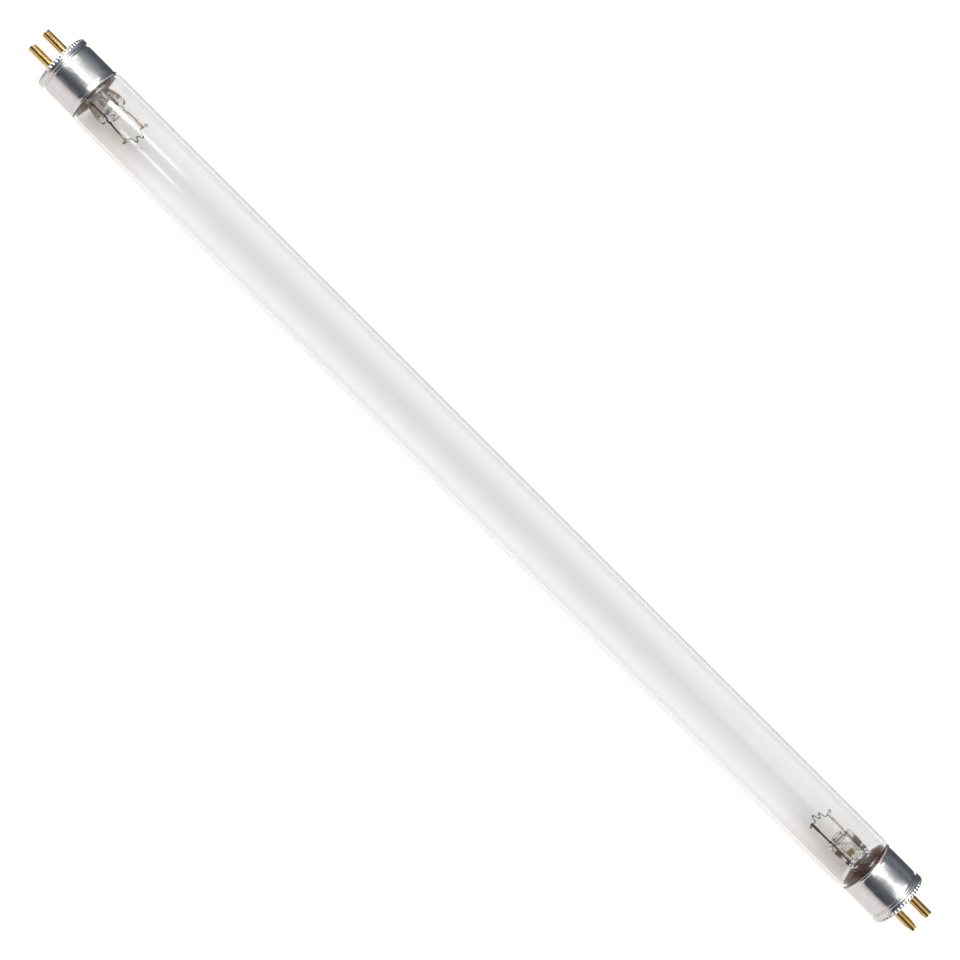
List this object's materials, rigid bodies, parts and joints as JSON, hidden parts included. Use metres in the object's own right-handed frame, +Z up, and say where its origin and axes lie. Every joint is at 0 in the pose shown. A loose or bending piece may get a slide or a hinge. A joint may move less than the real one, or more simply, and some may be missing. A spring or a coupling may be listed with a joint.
{
  "type": "ultraviolet lamp tube",
  "caption": "Straight clear-glass low-pressure ultraviolet germicidal lamp with an aluminium two-pin cap at each end and coiled cathodes on glass stems",
  "frame": {"origin": "centre of the lamp, on its axis, halfway between the pin tips", "axes": "+X along the lamp towards the right cap, +Y from the front pins to the back pins, +Z up"},
  "size_m": [0.3024, 0.0156, 0.0156],
  "materials": {
    "tube_glass": "clear drawn tube, slightly grey near the caps",
    "stem_glass": "clear, pressed flat at the seal, faint brown tint",
    "cap_aluminium": "satin, drawn round the axis, serrated rim",
    "disc_phenolic": "brown phenolic board",
    "pin_brass": "bright drawn brass",
    "base_cement": "baked brown basing cement",
    "lead_nickel": "nickel wire, warm tarnish",
    "seal_wire": "copper-clad wire, dark where it is sealed in",
    "tail_copper": "thin bare copper",
    "coil_tungsten": "dark grey wound wire",
    "mercury": "liquid metal bead"
  },
  "bodies": {
    "root": {"glass_tube": "tube_glass", "mercury_bead": "mercury", "left_cap_shell": "cap_aluminium", "left_base_disc": "disc_phenolic", "left_front_pin": "pin_brass", "left_back_pin": "pin_brass", "left_cement": "base_cement", "left_stem": "stem_glass", "left_exhaust_tube": "stem_glass", "left_front_lead": "lead_nickel", "left_back_lead": "lead_nickel", "left_front_seal": "seal_wire", "left_back_seal": "seal_wire", "left_front_tail": "tail_copper", "left_back_tail": "tail_copper", "left_filament": "coil_tungsten", "right_cap_shell": "cap_aluminium", "right_base_disc": "disc_phenolic", "right_front_pin": "pin_brass", "right_back_pin": "pin_brass", "right_cement": "base_cement", "right_stem": "stem_glass", "right_exhaust_tube": "stem_glass", "right_front_lead": "lead_nickel", "right_back_lead": "lead_nickel", "right_front_seal": "seal_wire", "right_back_seal": "seal_wire", "right_front_tail": "tail_copper", "right_back_tail": "tail_copper", "right_filament": "coil_tungsten"}
  },
  "joints": []
}
